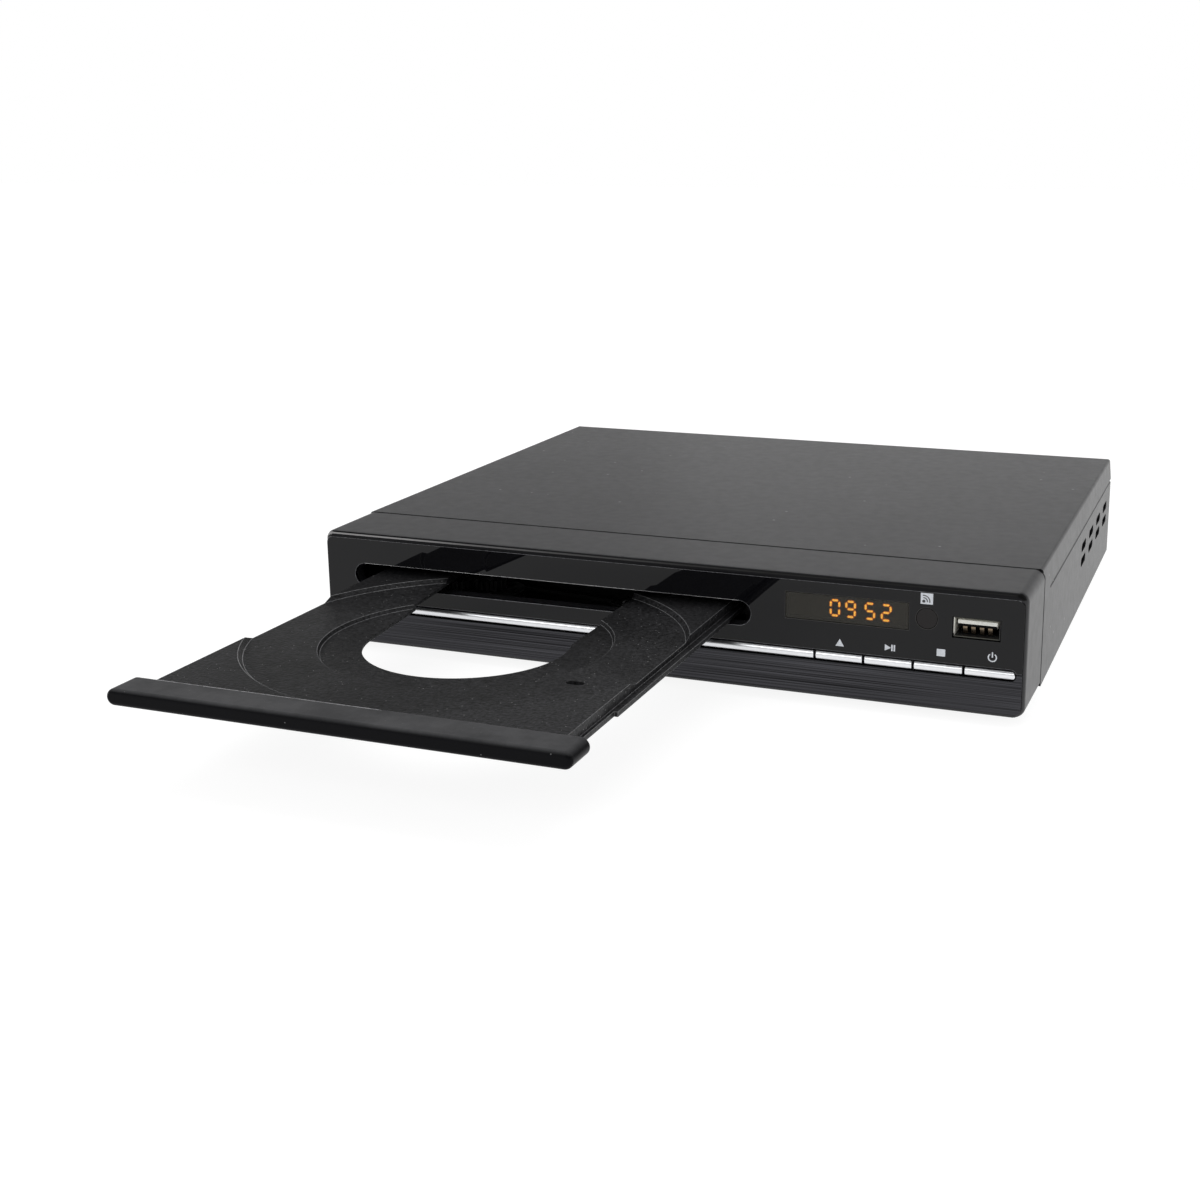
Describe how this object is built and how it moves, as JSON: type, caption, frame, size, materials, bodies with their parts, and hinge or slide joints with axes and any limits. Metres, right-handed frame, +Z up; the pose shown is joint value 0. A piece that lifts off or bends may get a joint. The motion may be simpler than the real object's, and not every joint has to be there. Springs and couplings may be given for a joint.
{
  "type": "disc player with tray",
  "caption": "Slim black disc player with its disc tray run out, gloss front, silver strip with keys, figure display and USB socket.",
  "frame": {"origin": "middle of the bounding box's underside, on the plane the feet stand on, with the tray run out", "axes": "+X to the right seen from the front, +Y from the front to the back, +Z up; the tray runs in along +Y"},
  "size_m": [0.225, 0.3304, 0.0392],
  "materials": {
    "chassis_steel": "zinc-coated sheet",
    "cover_paint": "fine satin black paint",
    "black_screw": "black oxide",
    "foot_rubber": "matt",
    "bezel_plastic": "fine satin",
    "panel_gloss": "piano gloss",
    "band_brushed": "black anodised, brushed along its length",
    "silver": "bright silver",
    "key_eject": "bright silver",
    "key_play": "bright silver",
    "key_stop": "bright silver",
    "key_power": "bright silver",
    "display_glass": "smoked",
    "module_black": "matt",
    "amber": "lit amber",
    "ir_glass": "dark red",
    "ir_black": "epoxy",
    "usb_steel": "plated",
    "usb_plastic": "plain",
    "front_pcb": "solder mask",
    "switch_black": "plain",
    "loader_plastic": "fine spark-eroded",
    "tray_plastic": "fine satin",
    "lid_plastic": "satin gloss",
    "bridge_steel": "zinc-coated sheet",
    "puck_plastic": "natural",
    "clamp_steel": "plain",
    "motor_can": "plated",
    "pulley_plastic": "natural",
    "belt_rubber": "matt",
    "gear_plastic": "natural",
    "gear_plastic_b": "natural",
    "cam_plastic": "natural",
    "lift_plastic": "plain",
    "damper_rubber": "soft",
    "traverse_steel": "plated",
    "spindle_can": "plated",
    "turntable_plastic": "plain",
    "pad_rubber": "soft",
    "pickup_metal": "die-cast",
    "lens_glass": "coated",
    "rod_steel": "polished",
    "screw_steel": "polished",
    "sled_can": "plated",
    "main_pcb": "solder mask",
    "chip_epoxy": "epoxy",
    "power_pcb": "paper laminate",
    "ferrite": "ferrite and tape",
    "capacitor_sleeve": "sleeved",
    "heat_sink_metal": "plain",
    "av_pcb": "solder mask",
    "jack_plastic": "plain",
    "jack_metal": "plated",
    "collar_plastic": "plain",
    "hdmi_steel": "plated",
    "hdmi_plastic": "plain",
    "inlet_plastic": "plain",
    "inlet_brass": "plated",
    "standoff_steel": "plated",
    "screw_zinc": "zinc"
  },
  "bodies": {
    "housing": {"chassis": "chassis_steel", "top_cover": "cover_paint", "cover_screws": "black_screw", "feet": "foot_rubber", "front_bezel": "bezel_plastic", "gloss_panel": "panel_gloss", "lower_panel": "band_brushed", "silver_strip": "silver", "display_window": "display_glass", "display_module": "module_black", "display_segments": "amber", "ir_window": "ir_glass", "ir_receiver": "ir_black", "usb_shell": "usb_steel", "usb_insert": "usb_plastic", "front_board": "front_pcb", "tact_switches": "switch_black", "loader_frame": "loader_plastic", "clamp_bridge": "bridge_steel", "loading_motor": "motor_can", "drive_belt": "belt_rubber", "main_board": "main_pcb", "board_chips": "chip_epoxy", "power_board": "power_pcb", "transformer": "ferrite", "capacitors": "capacitor_sleeve", "heat_sink": "heat_sink_metal", "av_board": "av_pcb", "jack_block": "jack_plastic", "jack_sleeves": "jack_metal", "jack_collars": "collar_plastic", "hdmi_shell": "hdmi_steel", "hdmi_insert": "hdmi_plastic", "mains_inlet": "inlet_plastic", "inlet_pins": "inlet_brass", "standoffs": "standoff_steel", "screws": "screw_zinc"},
    "tray": {"tray": "tray_plastic", "tray_lid": "lid_plastic"},
    "tray_gear": {"tray_gear": "gear_plastic_b"},
    "pulley_gear": {"pulley_gear": "gear_plastic"},
    "motor_pulley": {"motor_pulley": "pulley_plastic"},
    "lift": {"lift_frame": "lift_plastic", "dampers": "damper_rubber", "traverse_plate": "traverse_steel", "spindle_motor": "spindle_can", "guide_rods": "rod_steel", "sled_motor": "sled_can"},
    "cam_slider": {"cam_slider": "cam_plastic"},
    "pickup": {"pickup": "pickup_metal", "pickup_lens": "lens_glass"},
    "lead_screw": {"lead_screw": "screw_steel"},
    "turntable": {"turntable": "turntable_plastic", "turntable_pad": "pad_rubber"},
    "clamp_puck": {"clamp_puck": "puck_plastic", "clamp_plate": "clamp_steel"},
    "button_eject": {"button_eject": "key_eject"},
    "button_play": {"button_play": "key_play"},
    "button_stop": {"button_stop": "key_stop"},
    "button_power": {"button_power": "key_power"}
  },
  "joints": [
    {"name": "tray_slide", "type": "slide", "parent": "housing", "child": "tray", "axis": [0, 1, 0], "range_m": [0, 0.1227]},
    {"name": "tray_gear_spin", "type": "hinge", "parent": "housing", "child": "tray_gear", "pos_m": [-0.08345, -0.0125, 0.02], "axis": [0, 0, 1], "continuous": true},
    {"name": "pulley_gear_spin", "type": "hinge", "parent": "housing", "child": "pulley_gear", "pos_m": [-0.06825, -0.0125, 0.016], "axis": [0, 0, 1], "continuous": true},
    {"name": "motor_pulley_spin", "type": "hinge", "parent": "housing", "child": "motor_pulley", "pos_m": [-0.02025, -0.0125, 0.0145], "axis": [0, 0, 1], "continuous": true},
    {"name": "lift_tilt", "type": "hinge", "parent": "housing", "child": "lift", "pos_m": [-0.0345, 0.1195, 0.016], "axis": [-1, 0, 0], "range_deg": [0, 5.8]},
    {"name": "cam_slide", "type": "slide", "parent": "housing", "child": "cam_slider", "axis": [1, 0, 0], "range_m": [-0.0005, 0.0165]},
    {"name": "sled_slide", "type": "slide", "parent": "lift", "child": "pickup", "axis": [0, 0.9949, 0.1011], "range_m": [0, 0.034]},
    {"name": "lead_screw_spin", "type": "hinge", "parent": "lift", "child": "lead_screw", "pos_m": [-0.0205, 0.06784, 0.01005], "axis": [0, 0.9949, 0.1011], "continuous": true},
    {"name": "turntable_spin", "type": "hinge", "parent": "lift", "child": "turntable", "pos_m": [-0.0345, 0.02955, 0.01792], "axis": [0, -0.1011, 0.9949], "continuous": true},
    {"name": "clamp_puck_spin", "type": "hinge", "parent": "housing", "child": "clamp_puck", "pos_m": [-0.0345, 0.0302, 0.034], "axis": [0, 0, 1], "continuous": true},
    {"name": "button_eject_press", "type": "slide", "parent": "housing", "child": "button_eject", "axis": [0, 1, 0], "range_m": [0, 0.0006], "stiffness_N_per_m": 400, "springref_m": -0.0008},
    {"name": "button_play_press", "type": "slide", "parent": "housing", "child": "button_play", "axis": [0, 1, 0], "range_m": [0, 0.0006], "stiffness_N_per_m": 400, "springref_m": -0.0008},
    {"name": "button_stop_press", "type": "slide", "parent": "housing", "child": "button_stop", "axis": [0, 1, 0], "range_m": [0, 0.0006], "stiffness_N_per_m": 400, "springref_m": -0.0008},
    {"name": "button_power_press", "type": "slide", "parent": "housing", "child": "button_power", "axis": [0, 1, 0], "range_m": [0, 0.0006], "stiffness_N_per_m": 400, "springref_m": -0.0008}
  ],
  "couplings": [
    {"joint": "tray_gear_spin", "follows": "tray_slide", "rad_per_m": -166.67},
    {"joint": "pulley_gear_spin", "follows": "tray_slide", "rad_per_m": 361.11},
    {"joint": "motor_pulley_spin", "follows": "tray_slide", "rad_per_m": 1083.3},
    {"joint": "cam_slide", "follows": "lift_tilt", "m_per_rad": 0.15806},
    {"joint": "lead_screw_spin", "follows": "sled_slide", "rad_per_m": 2094.4}
  ]
}
